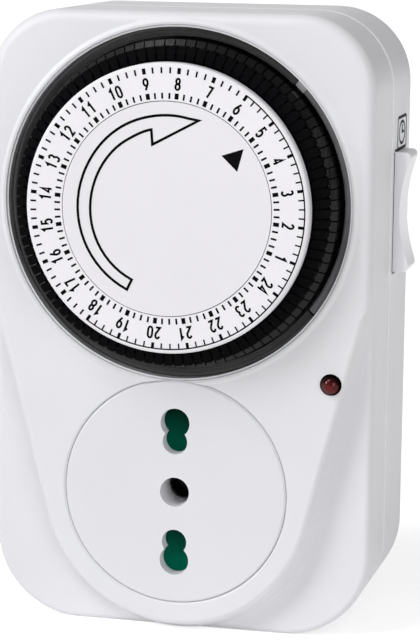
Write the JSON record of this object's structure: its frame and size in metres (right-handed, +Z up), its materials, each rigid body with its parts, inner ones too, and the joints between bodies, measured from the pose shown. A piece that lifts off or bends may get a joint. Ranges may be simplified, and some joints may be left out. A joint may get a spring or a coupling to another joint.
{
  "type": "plug-in timer switch",
  "caption": "Plug-in mains timer switch with a numbered dial ringed by push segments, a side rocker and a shuttered three-hole in-line socket.",
  "frame": {"origin": "middle of the base, half-way through the housing without pins and dial", "axes": "+Z up, -Y towards the dial, +X towards the rocker"},
  "size_m": [0.0749, 0.0667, 0.115],
  "materials": {
    "housing_white": "satin moulded, white",
    "insert_white": "satin moulded, white",
    "dial_white": "matte white",
    "disc_white": "matte white, a shade greyer than the number ring",
    "rocker_white": "satin moulded, white",
    "shutter_green": "matte green",
    "dial_black": "matte black",
    "segment_black": "glossy black",
    "ring_black": "glossy smoke black",
    "ring_window": "glossy, smoke grey",
    "lamp_red": "dark red, clear",
    "inner_grey": "natural grey",
    "inner_ivory": "natural ivory",
    "brass": "rolled strip",
    "contact_dark": "blackened spring strip",
    "blade_bronze": "spring strip",
    "pin_nickel": "nickel plated",
    "steel": "zinc plated",
    "contact_silver": "silver rivet",
    "winding_copper": "enamelled copper wire",
    "magnet": "sintered magnet",
    "neon_glass": "clear glass",
    "resistor_body": "lacquered"
  },
  "bodies": {
    "housing": {"front_cover": "housing_white", "rear_housing": "housing_white", "housing_screws": "steel", "socket_insert": "insert_white", "shutter_spring": "steel", "contact_carrier": "inner_grey", "live_socket_contact": "brass", "neutral_socket_contact": "brass", "earth_socket_contact": "contact_dark", "plug_base": "housing_white", "live_pin": "pin_nickel", "neutral_pin": "pin_nickel", "earth_pin": "pin_nickel", "live_bar": "brass", "load_bar": "brass", "neutral_bar": "brass", "earth_bar": "brass", "fixed_contacts": "contact_silver", "follower_pin": "steel", "rocker_pivot": "steel", "lamp_lens": "lamp_red", "neon_lamp": "neon_glass", "lamp_resistor": "resistor_body", "retaining_ring": "ring_black", "ring_window": "ring_window", "centre_disc": "disc_white", "dial_post": "steel", "dial_clip": "steel", "movement_front_plate": "inner_grey", "movement_rear_plate": "steel", "movement_spacers": "brass", "movement_screws": "steel", "gear_axles": "steel", "motor_can": "steel", "motor_bobbin": "inner_ivory", "motor_winding": "winding_copper"},
    "dial": {"dial_wheel": "dial_black", "number_ring": "dial_white"},
    "segment_group_0_to_3": {"segments_0_to_3": "segment_black"},
    "segment_group_3_to_6": {"segments_3_to_6": "segment_black"},
    "segment_group_6_to_9": {"segments_6_to_9": "segment_black"},
    "segment_group_9_to_12": {"segments_9_to_12": "segment_black"},
    "segment_group_12_to_15": {"segments_12_to_15": "segment_black"},
    "segment_group_15_to_18": {"segments_15_to_18": "segment_black"},
    "segment_group_18_to_21": {"segments_18_to_21": "segment_black"},
    "segment_group_21_to_24": {"segments_21_to_24": "segment_black"},
    "output": {"output_pinion": "inner_ivory", "clutch_spring": "steel"},
    "rotor": {"motor_rotor": "magnet"},
    "wheel_1": {"gear_1": "brass"},
    "wheel_2": {"gear_2": "brass"},
    "wheel_3": {"gear_3": "brass"},
    "wheel_4": {"gear_4": "brass"},
    "wheel_5": {"clutch_wheel": "brass"},
    "follower": {"cam_follower": "inner_ivory"},
    "blade": {"contact_blade": "blade_bronze", "moving_contact": "contact_silver"},
    "switch_rocker": {"rocker": "rocker_white"},
    "switch_blade": {"override_blade": "blade_bronze"},
    "shutter": {"safety_shutter": "shutter_green"}
  },
  "joints": [
    {"name": "dial_turn", "type": "hinge", "parent": "housing", "child": "dial", "pos_m": [0, 0, 0.0803], "axis": [0, 1, 0], "continuous": true},
    {"name": "push_0_to_3", "type": "slide", "parent": "dial", "child": "segment_group_0_to_3", "axis": [0, 1, 0], "range_m": [0, 0.0025]},
    {"name": "push_3_to_6", "type": "slide", "parent": "dial", "child": "segment_group_3_to_6", "axis": [0, 1, 0], "range_m": [0, 0.0025]},
    {"name": "push_6_to_9", "type": "slide", "parent": "dial", "child": "segment_group_6_to_9", "axis": [0, 1, 0], "range_m": [0, 0.0025]},
    {"name": "push_9_to_12", "type": "slide", "parent": "dial", "child": "segment_group_9_to_12", "axis": [0, 1, 0], "range_m": [0, 0.0025]},
    {"name": "push_12_to_15", "type": "slide", "parent": "dial", "child": "segment_group_12_to_15", "axis": [0, 1, 0], "range_m": [0, 0.0025]},
    {"name": "push_15_to_18", "type": "slide", "parent": "dial", "child": "segment_group_15_to_18", "axis": [0, 1, 0], "range_m": [0, 0.0025]},
    {"name": "push_18_to_21", "type": "slide", "parent": "dial", "child": "segment_group_18_to_21", "axis": [0, 1, 0], "range_m": [0, 0.0025]},
    {"name": "push_21_to_24", "type": "slide", "parent": "dial", "child": "segment_group_21_to_24", "axis": [0, 1, 0], "range_m": [0, 0.0025]},
    {"name": "output_turn", "type": "hinge", "parent": "housing", "child": "output", "pos_m": [-0.01767, 0, 0.07383], "axis": [0, 1, 0], "continuous": true},
    {"name": "rotor_turn", "type": "hinge", "parent": "housing", "child": "rotor", "pos_m": [-0.01107, 0, 0.08526], "axis": [0, 1, 0], "continuous": true},
    {"name": "wheel_1_turn", "type": "hinge", "parent": "housing", "child": "wheel_1", "pos_m": [0.00213, 0, 0.08526], "axis": [0, 1, 0], "continuous": true},
    {"name": "wheel_2_turn", "type": "hinge", "parent": "housing", "child": "wheel_2", "pos_m": [0.01533, 0, 0.08526], "axis": [0, 1, 0], "continuous": true},
    {"name": "wheel_3_turn", "type": "hinge", "parent": "housing", "child": "wheel_3", "pos_m": [0.00873, 0, 0.07383], "axis": [0, 1, 0], "continuous": true},
    {"name": "wheel_4_turn", "type": "hinge", "parent": "housing", "child": "wheel_4", "pos_m": [-0.00447, 0, 0.07383], "axis": [0, 1, 0], "continuous": true},
    {"name": "wheel_5_turn", "type": "hinge", "parent": "housing", "child": "wheel_5", "pos_m": [-0.01767, 0, 0.07383], "axis": [0, 1, 0], "continuous": true},
    {"name": "follower_swing", "type": "hinge", "parent": "housing", "child": "follower", "pos_m": [0.0214, -0.004, 0.07013], "axis": [-1, 0, 0], "range_deg": [0, 5.2]},
    {"name": "blade_swing", "type": "hinge", "parent": "housing", "child": "blade", "pos_m": [0.0214, -0.00175, 0.06213], "axis": [-1, 0, 0], "range_deg": [0, 3.8]},
    {"name": "rocker_tilt", "type": "hinge", "parent": "housing", "child": "switch_rocker", "pos_m": [0.0326, 0.00625, 0.0777], "axis": [0, -1, 0], "range_deg": [0, 7]},
    {"name": "override_swing", "type": "hinge", "parent": "housing", "child": "switch_blade", "pos_m": [0.0302, 0.00625, 0.06213], "axis": [0, -1, 0], "range_deg": [0, 2.6]},
    {"name": "shutter_slide", "type": "slide", "parent": "housing", "child": "shutter", "axis": [1, 0, 0], "range_m": [0, 0.0072], "stiffness_N_per_m": 60, "springref_m": -0.003, "deforming": ["shutter_spring"]}
  ],
  "couplings": [
    {"joint": "output_turn", "follows": "dial_turn", "ratio": 7.2},
    {"joint": "wheel_1_turn", "follows": "rotor_turn", "ratio": -0.1},
    {"joint": "wheel_2_turn", "follows": "rotor_turn", "ratio": 0.01},
    {"joint": "wheel_3_turn", "follows": "rotor_turn", "ratio": -0.001},
    {"joint": "wheel_4_turn", "follows": "rotor_turn", "ratio": 0.0001},
    {"joint": "wheel_5_turn", "follows": "rotor_turn", "ratio": -0.00001},
    {"joint": "follower_swing", "follows": "push_3_to_6", "rad_per_m": 35.7},
    {"joint": "blade_swing", "follows": "push_3_to_6", "rad_per_m": 26.2},
    {"joint": "override_swing", "follows": "rocker_tilt", "ratio": 0.36}
  ]
}
